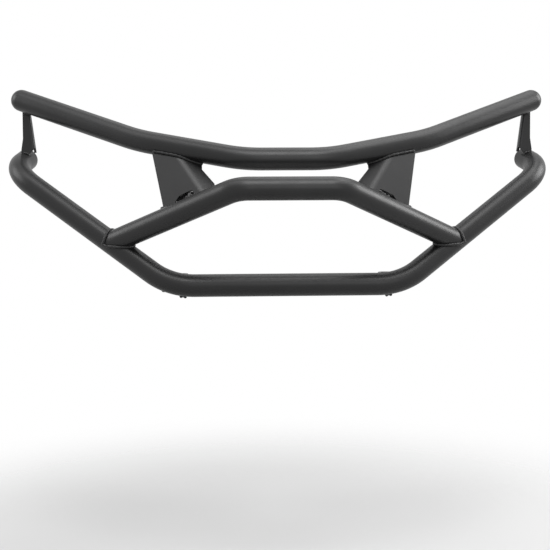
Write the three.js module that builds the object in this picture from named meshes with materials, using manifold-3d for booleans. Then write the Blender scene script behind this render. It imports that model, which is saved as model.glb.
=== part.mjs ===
// Front grille guard for a quad bike: a welded frame of three bent steel tubes,
// joined by folded gussets and uprights, with bolt-on brackets behind it.
//
// Millimetres. X runs across the vehicle, Y towards its rear and Z up.
// While the pieces are built, z = 0 is the axis of the lower tube and y = 0 is the
// axis of the hoop's front. At the end the whole guard is shifted so that its
// origin is the bottom centre of its box.

import * as THREE from 'three';
import { mergeVertices } from 'three/addons/utils/BufferGeometryUtils.js';
import Module from 'manifold-3d';

const wasm = await Module();
wasm.setup();

// ---------------------------------------------------------------------------
// Driving dimensions
// ---------------------------------------------------------------------------

// Stock
const tubeDiameter = 44.45;
const tubeWall = 2.1;
const plateThickness = 5;
const bracketThickness = 6;
const seatGap = 0.3; // between pieces that touch

// Bend radii, to the tube's axis
const topBendRadius = 190;
const kneeBendRadius = 325;
const lowerBendRadius = 130;
const hoopBendRadius = 60;
const cornerBendRadius = 80;

// Top tube: a flat middle, a shallow knee each side, then a straight run to the tip
const topHeight = 245;
const topSetback = 120;
const topFlatHalf = 83;
const topKneeOut = 206; // sideways, from the flat's end to the knee
const topKneeBack = 75;
const topKneeRise = 35;
const topTipBack = 133; // from the knee to the tip
const topTipRise = 81;
const topTipInset = 14; // sideways, inside the lower tube's corner

// Lower tube: a flat middle, a rising diagonal, a tight corner and a short return
const lowerSetback = 110;
const lowerFlatHalf = 227;
const cornerOut = 321; // sideways, from the flat's end to the corner
const cornerBack = 159;
const cornerRise = 218.5;
const returnIn = 18; // back towards the middle, from the corner to the tube's end
const returnBack = 85;
const returnRise = 20;

// Hoop: a flat front whose legs run down, outwards and back to the lower tube
const hoopHeight = 194;
const hoopFlatHalf = 99;
const hoopFootOut = 344;
const hoopFootAhead = 0.5; // leg axis ahead of the lower tube's axis
const hoopFootOverrun = 1; // leg past the place where the two axes cross

// Gussets, between the top tube and the hoop
const gussetTopOuter = 262;
const gussetTopBend = 211;
const gussetTopInner = 163;
const gussetBottomOuter = 235;
const gussetBottomBend = 156;
const gussetBottomInner = 139;
const gussetStepDrop = 12; // height of the short plumb edge at the inner top corner
const gussetSkirt = 14; // how far the free lower edge hangs below the hoop's top
const gussetTopSeatAngle = 37; // degrees below level, on the top tube's front
const gussetFootSeatAngle = 70; // degrees above level, on the leg's rear
const notchOuter = 217;
const notchInner = 178;
const notchDepth = 10; // above the hoop's top
const notchOuterRun = 9.5; // sideways, of its slanted ends
const notchInnerRun = 5;

// Uprights, between the tips of the top tube and the returns of the lower tube
const uprightInset = 14.5; // its straight outer edge, inside the lower tube's corner
const uprightTopWidth = 13.5;
const uprightBottomWidth = 26;
const uprightFootWidth = 10.5; // from the straight outer edge in to its lowest corner
const uprightFootLift = 15; // from the lowest corner up to the inner corner
const uprightFootBehind = 52; // its front face, behind the lower tube's corner
const uprightFootDrop = 4; // lowest corner of its face, below the return's top
const uprightFlare = 3.5; // sideways, of its outer edge towards the foot
const uprightFlareRise = 34; // from the lowest corner up to where the flare starts
const uprightFlangeTop = 14;
const uprightFlangeBottom = 16;
const uprightFlangeSlant = 12; // its rear lower corner, below its front one

// Brackets behind the guard
const lowerMountOut = 199;
const lowerTabLength = 60;
const lowerTabHeight = 38;
const lowerMountDrop = 6; // middle of its tab, below the tube's axis
const lowerFootStandoff = 16; // from the tab's end to the foot's back face
const upperMountOut = 185;
const upperTabLength = 76;
const upperTabHeight = 40;
const upperFootStandoff = 14;
const upperMountDrop = 14; // middle of its tab, below the hoop's top
const tabChamfer = 10; // at a tab's rear corners
const footWidth = 54;
const slotLength = 30; // of the foot's adjusting slot
const slotDrop = 8; // of the slot, below the middle of the foot

// Fasteners (M10)
const boltRadius = 5;
const boltHoleRadius = 5.5;
const boltAcrossFlats = 16;
const boltHeadHeight = 7;
const boltFlangeRadius = 10.5;
const boltFlangeHeight = 2;
const boltSpacing = 24;
const boltBack = 26; // from a tab's rear end to midway between its bolts
const nutHeight = 8;
const washerRadius = 10.5;
const washerHeight = 2;
const boltTail = 4; // thread past the nut

// End caps
const capSpigotLength = 14;
const capWall = 3;
const plugHead = 4;

// Facets
const tubeSegments = 12; // a circle gets twice this many sides
const roundSegments = 8;
const bendStep = THREE.MathUtils.degToRad(6);

// Derived sizes
const tubeRadius = tubeDiameter / 2;
const boreRadius = tubeRadius - tubeWall;
const clearanceRadius = tubeRadius + seatGap;

// ---------------------------------------------------------------------------
// Materials
// ---------------------------------------------------------------------------

const powderCoat = () => new THREE.MeshStandardMaterial({
  color: 0x242426, roughness: 0.45, metalness: 0.1,
});
const blackZinc = () => new THREE.MeshStandardMaterial({
  color: 0x2e2f32, roughness: 0.4, metalness: 0.8,
});
const blackPlastic = () => new THREE.MeshStandardMaterial({
  color: 0x18181a, roughness: 0.6, metalness: 0,
});

// ---------------------------------------------------------------------------
// Solids: joining, cutting and mirroring closed meshes
// ---------------------------------------------------------------------------

function solid(geometry) {
  const bare = new THREE.BufferGeometry();
  bare.setAttribute('position', geometry.getAttribute('position').clone());
  if (geometry.index) {
    bare.setIndex(geometry.index.clone());
  }
  const merged = mergeVertices(bare, 1e-4);
  const triVerts = new Uint32Array(merged.index.array);
  const vertProperties = new Float32Array(merged.getAttribute('position').array);
  return new wasm.Manifold(new wasm.Mesh({ numProp: 3, vertProperties, triVerts }));
}

function surface(manifold) {
  const { vertProperties, triVerts } = manifold.getMesh();
  const geometry = new THREE.BufferGeometry();
  geometry.setAttribute('position', new THREE.BufferAttribute(new Float32Array(vertProperties), 3));
  geometry.setIndex(new THREE.BufferAttribute(new Uint32Array(triVerts), 1));
  geometry.computeVertexNormals();
  return geometry;
}

const cut = (body, ...tools) => tools.reduce((left, tool) => left.subtract(tool), body);
const join = (body, ...others) => others.reduce((left, other) => left.add(other), body);

// The same geometry on the other side of the vehicle's centre plane.
function mirrored(geometry) {
  const copy = geometry.clone().applyMatrix4(new THREE.Matrix4().makeScale(-1, 1, 1));
  const order = copy.index.array;
  for (let i = 0; i < order.length; i += 3) {
    [order[i], order[i + 1]] = [order[i + 1], order[i]];
  }
  copy.computeVertexNormals();
  return copy;
}

// ---------------------------------------------------------------------------
// Bent tubes
// ---------------------------------------------------------------------------

const direction = (from, to) => to.clone().sub(from).normalize();

// Half of a centreline, mirrored into the whole of it.
function symmetric(half) {
  const flip = ({ at, radius }) => ({ at: new THREE.Vector3(-at.x, at.y, at.z), radius });
  return [...half.map(flip).reverse(), ...half];
}

// Places along a centreline whose corners are rounded to their bend radius.
function stations(corners) {
  const list = [];
  corners.forEach(({ at, radius }, i) => {
    const before = i > 0 ? direction(corners[i - 1].at, at) : null;
    const after = i < corners.length - 1 ? direction(at, corners[i + 1].at) : null;
    if (!before || !after) {
      list.push({ point: at.clone(), tangent: (before ?? after).clone() });
      return;
    }
    const turn = before.angleTo(after);
    const start = at.clone().addScaledVector(before, -radius * Math.tan(turn / 2));
    const axis = before.clone().cross(after).normalize();
    const centre = start.clone().addScaledVector(axis.clone().cross(before), radius);
    const steps = Math.max(3, Math.ceil(turn / bendStep));
    for (let k = 0; k <= steps; k += 1) {
      const angle = turn * k / steps;
      const spoke = start.clone().sub(centre).applyAxisAngle(axis, angle);
      list.push({
        point: centre.clone().add(spoke),
        tangent: before.clone().applyAxisAngle(axis, angle),
      });
    }
  });
  return list;
}

// A curve that an extrusion samples at exactly the given stations.
class StationCurve extends THREE.Curve {
  constructor(list) {
    super();
    this.list = list;
  }

  station(u) {
    return this.list[Math.round(u * (this.list.length - 1))];
  }

  getPointAt(u) {
    return this.station(u).point.clone();
  }

  getTangentAt(u) {
    return this.station(u).tangent.clone();
  }
}

function tube(corners, outerRadius, innerRadius = 0) {
  const list = stations(corners);
  const section = new THREE.Shape().absarc(0, 0, outerRadius, 0, 2 * Math.PI);
  if (innerRadius > 0) {
    section.holes.push(new THREE.Path().absarc(0, 0, innerRadius, 0, 2 * Math.PI, true));
  }
  return new THREE.ExtrudeGeometry(section, {
    steps: list.length - 1,
    curveSegments: tubeSegments,
    extrudePath: new StationCurve(list),
  });
}

// Point of a centreline's +X half, at a distance out from the centre plane.
function axisPoint(half, out) {
  const corners = half.map(({ at }) => at);
  const first = new THREE.Vector3(0, corners[0].y, corners[0].z);
  const run = [first, ...corners];
  const i = run.findIndex((corner, k) => k > 0 && corner.x >= out);
  const end = i > 0 ? i : run.length - 1;
  const share = (out - run[end - 1].x) / (run[end].x - run[end - 1].x);
  return run[end - 1].clone().lerp(run[end], share);
}

// ---------------------------------------------------------------------------
// Plates and prisms
// ---------------------------------------------------------------------------

// A flat plate on a planar outline, its thickness laid on the side of `towards`.
function plate(outline, thickness, towards) {
  const origin = outline[0];
  const across = direction(outline[0], outline[1]);
  const face = new THREE.Plane().setFromCoplanarPoints(outline[0], outline[1], outline[2]).normal;
  const normal = face.dot(towards) < 0 ? face.negate() : face;
  const along = normal.clone().cross(across);
  const flat = outline.map((point) => {
    const offset = point.clone().sub(origin);
    return new THREE.Vector2(offset.dot(across), offset.dot(along));
  });
  const geometry = new THREE.ExtrudeGeometry(new THREE.Shape(flat), {
    depth: thickness, bevelEnabled: false,
  });
  const place = new THREE.Matrix4().makeBasis(across, along, normal).setPosition(origin);
  return geometry.applyMatrix4(place);
}

const rearward = new THREE.Vector3(0, 1, 0);
const outward = new THREE.Vector3(1, 0, 0);

// A prism along Y over an outline of [x, z] points.
function prismAlongY(outline, y0, y1) {
  const points = outline.map(([x, z]) => new THREE.Vector3(x, y0, z));
  return plate(points, y1 - y0, rearward);
}

// A plate square to X over an outline of [y, z] points, from x0 to x0 + thickness.
function plateAcrossX(outline, x0, thickness) {
  const points = outline.map(([y, z]) => new THREE.Vector3(x0, y, z));
  return plate(points, thickness, outward);
}

function cylinderAlongX(radius, x0, x1, y, z) {
  const geometry = new THREE.CylinderGeometry(radius, radius, x1 - x0, 2 * roundSegments);
  geometry.rotateZ(-Math.PI / 2);
  return geometry.translate((x0 + x1) / 2, y, z);
}

function hexagonAlongX(acrossFlats, x0, x1, y, z) {
  const radius = acrossFlats / Math.sqrt(3);
  const geometry = new THREE.CylinderGeometry(radius, radius, x1 - x0, 6);
  geometry.rotateZ(-Math.PI / 2);
  return geometry.translate((x0 + x1) / 2, y, z);
}

// ---------------------------------------------------------------------------
// Centrelines
// ---------------------------------------------------------------------------

const corner = (x, y, z, radius = 0) => ({ at: new THREE.Vector3(x, y, z), radius });

const lowerCorner = [lowerFlatHalf + cornerOut, lowerSetback + cornerBack, cornerRise];
const lowerHalf = [
  corner(lowerFlatHalf, lowerSetback, 0, lowerBendRadius),
  corner(...lowerCorner, cornerBendRadius),
  corner(lowerCorner[0] - returnIn, lowerCorner[1] + returnBack, lowerCorner[2] + returnRise),
];

const topKnee = [topFlatHalf + topKneeOut, topSetback + topKneeBack, topHeight + topKneeRise];
const topHalf = [
  corner(topFlatHalf, topSetback, topHeight, topBendRadius),
  corner(...topKnee, kneeBendRadius),
  corner(lowerCorner[0] - topTipInset, topKnee[1] + topTipBack, topKnee[2] + topTipRise),
];

const hoopBend = new THREE.Vector3(hoopFlatHalf, 0, hoopHeight);
const hoopCross = axisPoint(lowerHalf, hoopFootOut).add(new THREE.Vector3(0, -hoopFootAhead, 0));
const hoopEnd = hoopCross.clone().addScaledVector(direction(hoopBend, hoopCross), hoopFootOverrun);
const hoopHalf = [
  { at: hoopBend, radius: hoopBendRadius },
  { at: hoopEnd, radius: 0 },
];

const topTip = topHalf[2].at;
const topTipAxis = direction(topHalf[1].at, topTip);
const lowerEnd = lowerHalf[2].at;
const lowerEndAxis = direction(lowerHalf[1].at, lowerEnd);

// Half of a centreline, run on past its end.
function extended(half, past) {
  const [beforeLast, last] = half.slice(-2);
  const at = last.at.clone().addScaledVector(direction(beforeLast.at, last.at), past);
  return [...half.slice(0, -1), { at, radius: 0 }];
}

// The room each tube takes with its end caps, used to cut what is welded to it.
const topRoom = solid(tube(symmetric(extended(topHalf, tubeRadius)), clearanceRadius));
const lowerRun = extended(lowerHalf, plugHead + 2 * seatGap);
const lowerRoom = solid(tube(symmetric(lowerRun), clearanceRadius));
const hoopRoom = solid(tube(symmetric(hoopHalf), clearanceRadius));

// ---------------------------------------------------------------------------
// Pieces. Those of one side are built at +X.
// ---------------------------------------------------------------------------

const topTube = () => tube(symmetric(topHalf), tubeRadius, boreRadius);
const lowerTube = () => tube(symmetric(lowerHalf), tubeRadius, boreRadius);

function hoopTube() {
  const blank = solid(tube(symmetric(hoopHalf), tubeRadius, boreRadius));
  return surface(cut(blank, lowerRoom));
}

// A turned cap for a tube's end: `profile` is its outside, from the pole to the rim.
function endCap(profile, end, axis) {
  const spigot = boreRadius - seatGap;
  const inner = spigot - capWall;
  const points = [
    ...profile,
    new THREE.Vector2(spigot, 0),
    new THREE.Vector2(spigot, -capSpigotLength),
    new THREE.Vector2(inner, -capSpigotLength),
    new THREE.Vector2(inner, 0),
    new THREE.Vector2(0, 0),
  ];
  const geometry = new THREE.LatheGeometry(points.reverse(), 2 * tubeSegments);
  const turn = new THREE.Quaternion().setFromUnitVectors(new THREE.Vector3(0, 1, 0), axis);
  geometry.applyQuaternion(turn);
  const seat = end.clone().addScaledVector(axis, seatGap);
  geometry.translate(seat.x, seat.y, seat.z);
  return surface(solid(geometry));
}

function topCap() {
  const dome = [];
  const steps = 6;
  for (let k = 0; k <= steps; k += 1) {
    const angle = Math.PI / 2 * (1 - k / steps);
    const radius = k === 0 ? 0 : tubeRadius * Math.cos(angle);
    dome.push(new THREE.Vector2(radius, tubeRadius * Math.sin(angle)));
  }
  return endCap(dome, topTip, topTipAxis);
}

function lowerCap() {
  const chamfer = plugHead / 3;
  const head = [
    new THREE.Vector2(0, plugHead),
    new THREE.Vector2(tubeRadius - chamfer, plugHead),
    new THREE.Vector2(tubeRadius, plugHead - chamfer),
    new THREE.Vector2(tubeRadius, 0),
  ];
  return endCap(head, lowerEnd, lowerEndAxis);
}

// Place on a tube's skin, at an angle round it: 0 is its rear and 90 its top.
function skin(axisPlace, degrees) {
  const angle = THREE.MathUtils.degToRad(degrees);
  const offset = new THREE.Vector3(0, Math.cos(angle), Math.sin(angle));
  return axisPlace.addScaledVector(offset, tubeRadius);
}

// The point of a plane at a given x and z.
function onPlane(plane, x, z) {
  const { normal, constant } = plane;
  return new THREE.Vector3(x, -(constant + normal.x * x + normal.z * z) / normal.y, z);
}

const gussetTop = (out) => skin(axisPoint(topHalf, out), 180 + gussetTopSeatAngle);
const hoopCrest = (out) => axisPoint(hoopHalf, out).z + tubeRadius;

const gussetPlane = new THREE.Plane().setFromCoplanarPoints(
  gussetTop(gussetTopOuter),
  gussetTop(gussetTopBend),
  skin(axisPoint(hoopHalf, gussetBottomOuter), gussetFootSeatAngle),
);

// The gusset's bend, its corners fixed by planes and heights. It runs up into the top tube.
const gussetFoot = (out) => hoopCrest(out) - gussetSkirt;
const gussetRise = tubeRadius / 2; // of the upper edges, past the top tube's skin
const bendTop = onPlane(gussetPlane, gussetTopBend, gussetTop(gussetTopBend).z);
const bendFoot = onPlane(gussetPlane, gussetBottomBend, gussetFoot(gussetBottomBend));
const bendRun = bendTop.clone().sub(bendFoot);
const bendUp = bendTop.clone().addScaledVector(bendRun, gussetRise / bendRun.z);

function gussetFlange(thickness) {
  const innerTop = skin(axisPoint(topHalf, gussetTopInner), 270);
  const flangePlane = new THREE.Plane().setFromCoplanarPoints(bendTop, bendFoot, innerTop);
  const at = (x, z) => onPlane(flangePlane, x, z);
  return solid(plate([
    bendUp,
    bendFoot,
    at(gussetBottomInner, gussetFoot(gussetBottomInner)),
    at(gussetBottomInner, hoopCrest(gussetBottomInner)),
    at(gussetTopInner, innerTop.z - gussetStepDrop),
    at(gussetTopInner, innerTop.z + gussetRise),
  ], thickness, rearward));
}

function gusset() {
  const outerTop = onPlane(gussetPlane, gussetTopOuter, gussetTop(gussetTopOuter).z);
  const outerFoot = onPlane(gussetPlane, gussetBottomOuter, gussetFoot(gussetBottomOuter));
  const edgeRun = outerTop.clone().sub(outerFoot);
  const outerUp = outerTop.clone().addScaledVector(edgeRun, gussetRise / edgeRun.z);
  const face = solid(plate([outerUp, outerFoot, bendFoot, bendUp], plateThickness, rearward));

  const rim = (out, rise) => [out, hoopCrest(out) + rise];
  const notch = prismAlongY([
    rim(notchOuter, -2 * gussetSkirt),
    rim(notchOuter, 0),
    rim(notchOuter - notchOuterRun, notchDepth),
    rim(notchInner + notchInnerRun, notchDepth),
    rim(notchInner, 0),
    rim(notchInner, -2 * gussetSkirt),
  ], 0, lowerCorner[1]);
  return surface(cut(join(face, gussetFlange(plateThickness)), topRoom, hoopRoom, solid(notch)));
}

// It stands on the top of the lower tube's return and reaches the top tube's axis.
function upright() {
  const out = lowerCorner[0] - uprightInset;
  const back = lowerCorner[1] + uprightFootBehind;
  const returnAxis = lowerCorner[2] + returnRise * uprightFootBehind / returnBack;
  const rise = returnAxis + tubeRadius - uprightFootDrop;
  const top = axisPoint(topHalf, out);
  const lean = (top.y - back) / (top.z - rise);
  const at = (inset, z) => new THREE.Vector3(out - inset, back + lean * (z - rise), z);
  const innerTop = at(uprightTopWidth, top.z);
  const innerFoot = at(uprightBottomWidth, rise + uprightFootLift);
  const face = plate([
    at(0, top.z),
    at(0, rise + uprightFlareRise),
    at(-uprightFlare, rise + tubeRadius / 2),
    at(-uprightFlare, rise - tubeRadius / 2),
    at(uprightFootWidth, rise - tubeRadius / 2),
    at(uprightFootWidth, rise),
    innerFoot,
    innerTop,
  ], plateThickness, rearward);
  const flange = plate([
    innerTop,
    innerFoot,
    innerFoot.clone().add(new THREE.Vector3(0, uprightFlangeBottom, -uprightFlangeSlant)),
    innerTop.clone().add(new THREE.Vector3(0, uprightFlangeTop, 0)),
  ], plateThickness, outward);
  return surface(cut(join(solid(face), solid(flange)), topRoom, lowerRoom));
}

// ---------------------------------------------------------------------------
// Bolted brackets. A welded tab and a bracket lie side by side, both square to X.
// ---------------------------------------------------------------------------

// Where a mount's pieces sit: `front` and `height` place its two bolts.
const lowerMount = {
  out: lowerMountOut,
  front: lowerSetback + tubeRadius,
  height: -lowerMountDrop,
  tabLength: lowerTabLength,
  tabHeight: lowerTabHeight,
  standoff: lowerFootStandoff,
};
const gussetBack = onPlane(gussetPlane, upperMountOut, hoopCrest(upperMountOut) - upperMountDrop);
const upperMount = {
  out: upperMountOut,
  front: gussetBack.y + plateThickness,
  height: gussetBack.z,
  tabLength: upperTabLength,
  tabHeight: upperTabHeight,
  standoff: upperFootStandoff,
};

// The room of a gusset, and of all that lies in front of its face.
function gussetFrontRoom() {
  const { normal } = gussetPlane;
  const back = normal.clone().multiplyScalar(Math.sign(normal.y));
  const top = gussetBack.z + upperTabHeight;
  const bottom = gussetBack.z - upperTabHeight;
  const outline = [
    onPlane(gussetPlane, gussetTopOuter, top),
    onPlane(gussetPlane, gussetTopOuter, bottom),
    onPlane(gussetPlane, gussetBottomInner, bottom),
    onPlane(gussetPlane, gussetBottomInner, top),
  ];
  outline.forEach((point) => point.addScaledVector(back, -upperTabHeight));
  const front = solid(plate(outline, upperTabHeight + plateThickness + seatGap, back));
  return join(front, gussetFlange(plateThickness + seatGap));
}

const boltsOf = (mount) => [-0.5, 0.5].map((share) => ({
  y: mount.front + mount.tabLength - boltBack + share * boltSpacing,
  z: mount.height,
}));

const boltHoles = (mount) => boltsOf(mount).map(({ y, z }) => {
  const reach = 4 * bracketThickness;
  return solid(cylinderAlongX(boltHoleRadius, mount.out - reach, mount.out + reach, y, z));
});

// The tab's own front end runs into the piece that it is welded to, and is cut by it.
function tab(mount, room, sink) {
  const back = mount.front + mount.tabLength;
  const half = mount.tabHeight / 2;
  const outline = [
    [mount.front - sink, mount.height - half],
    [back - tabChamfer, mount.height - half],
    [back, mount.height - half + tabChamfer],
    [back, mount.height + half - tabChamfer],
    [back - tabChamfer, mount.height + half],
    [mount.front - sink, mount.height + half],
  ];
  const blank = solid(plateAcrossX(outline, mount.out, bracketThickness));
  return surface(cut(blank, room, ...boltHoles(mount)));
}

// An angle: one leg lies against the tab and the other is the foot on the vehicle.
function bracket(mount) {
  const back = mount.front + mount.tabLength + mount.standoff;
  const half = mount.tabHeight / 2;
  const x0 = mount.out - seatGap - bracketThickness;
  const front = mount.front + mount.tabLength - 2 * boltBack;
  const leg = plateAcrossX([
    [front, mount.height - half],
    [back, mount.height - half],
    [back, mount.height + half],
    [front, mount.height + half],
  ], x0, bracketThickness);
  const foot = prismAlongY([
    [x0, mount.height - half],
    [x0 + footWidth, mount.height - half],
    [x0 + footWidth, mount.height + half],
    [x0, mount.height + half],
  ], back - bracketThickness, back);
  const slotCentre = x0 + (footWidth + bracketThickness) / 2;
  const run = slotLength / 2 - boltHoleRadius;
  const shape = new THREE.Shape();
  shape.absarc(slotCentre + run, 0, boltHoleRadius, -Math.PI / 2, Math.PI / 2);
  shape.absarc(slotCentre - run, 0, boltHoleRadius, Math.PI / 2, 1.5 * Math.PI);
  const bar = new THREE.ExtrudeGeometry(shape, {
    depth: 4 * bracketThickness, curveSegments: roundSegments / 2, bevelEnabled: false,
  });
  bar.rotateX(Math.PI / 2);
  bar.translate(0, back + 2 * bracketThickness, mount.height - slotDrop);
  return surface(cut(join(solid(leg), solid(foot)), ...boltHoles(mount), solid(bar)));
}

// Along X from the outside in: bolt head, washer, tab, bracket, washer, nut.
function fastenerStack(mount) {
  const tabFace = mount.out + bracketThickness;
  const headSeat = tabFace + seatGap;
  const bracketFace = mount.out - seatGap - bracketThickness;
  const washerSeat = bracketFace - seatGap;
  const nutSeat = washerSeat - washerHeight - seatGap;
  return { headSeat, washerSeat, nutSeat, tail: nutSeat - nutHeight - boltTail };
}

function bolt(mount, { y, z }) {
  const { headSeat, tail } = fastenerStack(mount);
  const flangeTop = headSeat + boltFlangeHeight;
  return surface(join(
    solid(cylinderAlongX(boltRadius, tail, flangeTop, y, z)),
    solid(cylinderAlongX(boltFlangeRadius, headSeat, flangeTop, y, z)),
    solid(hexagonAlongX(boltAcrossFlats, headSeat, flangeTop + boltHeadHeight, y, z)),
  ));
}

function washer(mount, { y, z }) {
  const { washerSeat } = fastenerStack(mount);
  const disc = solid(cylinderAlongX(washerRadius, washerSeat - washerHeight, washerSeat, y, z));
  return surface(cut(disc, ...boltHoles(mount)));
}

function nut(mount, { y, z }) {
  const { nutSeat } = fastenerStack(mount);
  const block = solid(hexagonAlongX(boltAcrossFlats, nutSeat - nutHeight, nutSeat, y, z));
  const threadRoom = boltRadius + seatGap;
  const bore = solid(cylinderAlongX(threadRoom, nutSeat - 2 * nutHeight, nutSeat + nutHeight, y, z));
  return surface(cut(block, bore));
}

// ---------------------------------------------------------------------------
// The guard
// ---------------------------------------------------------------------------

const guard = new THREE.Group();
const frame = new THREE.Group();
guard.add(frame);

function add(name, geometry, material) {
  const mesh = new THREE.Mesh(geometry, material);
  mesh.name = name;
  frame.add(mesh);
}

// `left` is the side at -X, on the left of someone who faces the guard's front.
function addPair(name, geometry, material) {
  add(`${name}_left`, mirrored(geometry), material());
  add(`${name}_right`, geometry, material());
}

add('top_tube', topTube(), powderCoat());
add('lower_tube', lowerTube(), powderCoat());
add('hoop_tube', hoopTube(), powderCoat());
addPair('top_end_cap', topCap(), powderCoat);
addPair('lower_end_cap', lowerCap(), blackPlastic);
addPair('centre_gusset', gusset(), powderCoat);
addPair('upright', upright(), powderCoat);

addPair('lower_tab', tab(lowerMount, lowerRoom, tubeRadius / 2), powderCoat);
addPair('upper_tab', tab(upperMount, join(gussetFrontRoom(), hoopRoom), tubeRadius), powderCoat);
for (const [place, mount] of [['lower', lowerMount], ['upper', upperMount]]) {
  addPair(`${place}_bracket`, bracket(mount), powderCoat);
  boltsOf(mount).forEach((position, i) => {
    addPair(`${place}_bolt_${i + 1}`, bolt(mount, position), blackZinc);
    addPair(`${place}_washer_${i + 1}`, washer(mount, position), blackZinc);
    addPair(`${place}_nut_${i + 1}`, nut(mount, position), blackZinc);
  });
}

const box = new THREE.Box3().setFromObject(frame);
const middle = box.getCenter(new THREE.Vector3());
frame.position.set(-middle.x, -middle.y, -box.min.z);
guard.updateMatrixWorld(true);

export default guard;
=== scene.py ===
import math

import bmesh
import bpy
import numpy as np
from mathutils import Matrix, Quaternion, Vector


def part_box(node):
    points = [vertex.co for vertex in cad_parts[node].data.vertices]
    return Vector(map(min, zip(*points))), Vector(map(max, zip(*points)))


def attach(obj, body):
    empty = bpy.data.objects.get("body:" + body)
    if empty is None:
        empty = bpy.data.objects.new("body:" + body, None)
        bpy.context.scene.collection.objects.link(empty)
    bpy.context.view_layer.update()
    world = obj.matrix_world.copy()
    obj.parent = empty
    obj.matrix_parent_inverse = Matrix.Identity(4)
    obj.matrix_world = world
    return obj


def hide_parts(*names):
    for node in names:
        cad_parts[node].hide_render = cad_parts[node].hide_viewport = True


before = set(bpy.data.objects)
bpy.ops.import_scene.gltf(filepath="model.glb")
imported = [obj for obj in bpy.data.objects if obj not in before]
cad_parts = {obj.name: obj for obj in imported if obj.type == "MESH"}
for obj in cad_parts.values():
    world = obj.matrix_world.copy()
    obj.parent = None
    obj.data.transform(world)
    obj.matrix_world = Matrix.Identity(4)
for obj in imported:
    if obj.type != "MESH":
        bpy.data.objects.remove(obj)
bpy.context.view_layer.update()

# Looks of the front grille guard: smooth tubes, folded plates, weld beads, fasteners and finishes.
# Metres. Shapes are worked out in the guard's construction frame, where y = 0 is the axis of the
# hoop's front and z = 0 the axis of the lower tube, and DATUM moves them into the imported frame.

# ------------------------------------------------------------------------------
# Driving dimensions, as the CAD model has them
# ------------------------------------------------------------------------------

MM = 0.001


def at(x, y, z):
    """A place given in millimetres."""
    return Vector((x, y, z)) * MM


TUBE_RADIUS = 44.45 / 2 * MM
TUBE_WALL = 2.1 * MM
BORE_RADIUS = TUBE_RADIUS - TUBE_WALL
PLATE = 5 * MM
BRACKET = 6 * MM

TOP_BEND = 190 * MM
KNEE_BEND = 325 * MM
LOWER_BEND = 130 * MM
HOOP_BEND = 60 * MM
CORNER_BEND = 80 * MM

# Half centrelines, from the centre plane out to +X: corner and bend radius
CORNER = at(548, 269, 218.5)
RETURN = at(-18, 85, 20)
TOP_HALF = [(at(83, 120, 245), TOP_BEND), (at(289, 195, 280), KNEE_BEND), (at(534, 328, 361), 0)]
LOWER_HALF = [(at(227, 110, 0), LOWER_BEND), (CORNER, CORNER_BEND), (CORNER + RETURN, 0)]
HOOP_SHOULDER = at(99, 0, 194)
HOOP_FOOT_OUT = 344 * MM
HOOP_FOOT_AHEAD = 0.5 * MM

GUSSET_TOP_OUTER = 262 * MM
GUSSET_TOP_BEND = 211 * MM
GUSSET_TOP_INNER = 163 * MM
GUSSET_BOTTOM_OUTER = 235 * MM
GUSSET_BOTTOM_BEND = 156 * MM
GUSSET_BOTTOM_INNER = 139 * MM
GUSSET_STEP_DROP = 12 * MM
GUSSET_SKIRT = 14 * MM
GUSSET_TOP_SEAT = math.radians(180 + 37)
GUSSET_FOOT_SEAT = math.radians(70)
TUBE_BOTTOM = math.radians(270)
NOTCH_OUTER = 217 * MM
NOTCH_INNER = 178 * MM
NOTCH_DEPTH = 10 * MM
NOTCH_OUTER_RUN = 9.5 * MM
NOTCH_INNER_RUN = 5 * MM

UPRIGHT_INSET = 14.5 * MM
UPRIGHT_TOP_WIDTH = 13.5 * MM
UPRIGHT_BOTTOM_WIDTH = 26 * MM
UPRIGHT_FOOT_WIDTH = 10.5 * MM
UPRIGHT_FOOT_LIFT = 15 * MM
UPRIGHT_FOOT_BEHIND = 52 * MM
UPRIGHT_FOOT_DROP = 4 * MM
UPRIGHT_FLARE = 3.5 * MM
UPRIGHT_FLARE_RISE = 34 * MM
UPRIGHT_FLANGE_TOP = 14 * MM
UPRIGHT_FLANGE_BOTTOM = 16 * MM
UPRIGHT_FLANGE_SLANT = 12 * MM

TAB_CHAMFER = 10 * MM
BOLT_HOLE_RADIUS = 5.5 * MM
SLOT_LENGTH = 30 * MM
SLOT_DROP = 8 * MM

# Finish details that the CAD model leaves out
GUSSET_FOLD = 28 * MM  # outer radius of a plate's bend
UPRIGHT_FOLD = 6.5 * MM
BRACKET_FOLD = 9 * MM
EDGE_ROUND = 0.7 * MM
OUTLINE_ROUND = 2 * MM
WELD_RADIUS = 3.2 * MM
WELD_PITCH = 2.6 * MM  # from ripple to ripple
WELD_STEPS = 6  # rings in each ripple
WELD_CLEAR = 0.3 * WELD_RADIUS  # from a bead's middle to the skins that it joins
SINK = 0.25 * MM  # how far a welded piece reaches into the other's skin

# How finely shapes are divided
TUBE_SIDES = 96
ROD_SIDES = 48
FOLD_STEPS = 10
BEND_STEP = math.radians(1.5)
SHARP_ANGLE = math.radians(32)  # edges below it are shaded smooth
BEVEL_ANGLE = math.radians(40)  # edges above it are rounded
CORNER_ANGLE = math.radians(12)  # an outline's corners above it are rounded
SEARCH = 4 * TUBE_RADIUS  # how far a line is followed to find a tube's skin
HALVINGS = 30

# The right lower tab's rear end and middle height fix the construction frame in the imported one.
LOWER_TAB_LENGTH = 60 * MM
LOWER_MOUNT_DROP = 6 * MM
_tab_low, _tab_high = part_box("lower_tab_right")
DATUM = Vector((
    0,
    _tab_high.y - (LOWER_HALF[0][0].y + TUBE_RADIUS + LOWER_TAB_LENGTH),
    (_tab_low.z + _tab_high.z) / 2 + LOWER_MOUNT_DROP,
))

SIDES = (("left", -1), ("right", 1))
ACROSS = Vector((1, 0, 0))
UP = Vector((0, 0, 1))


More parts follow.
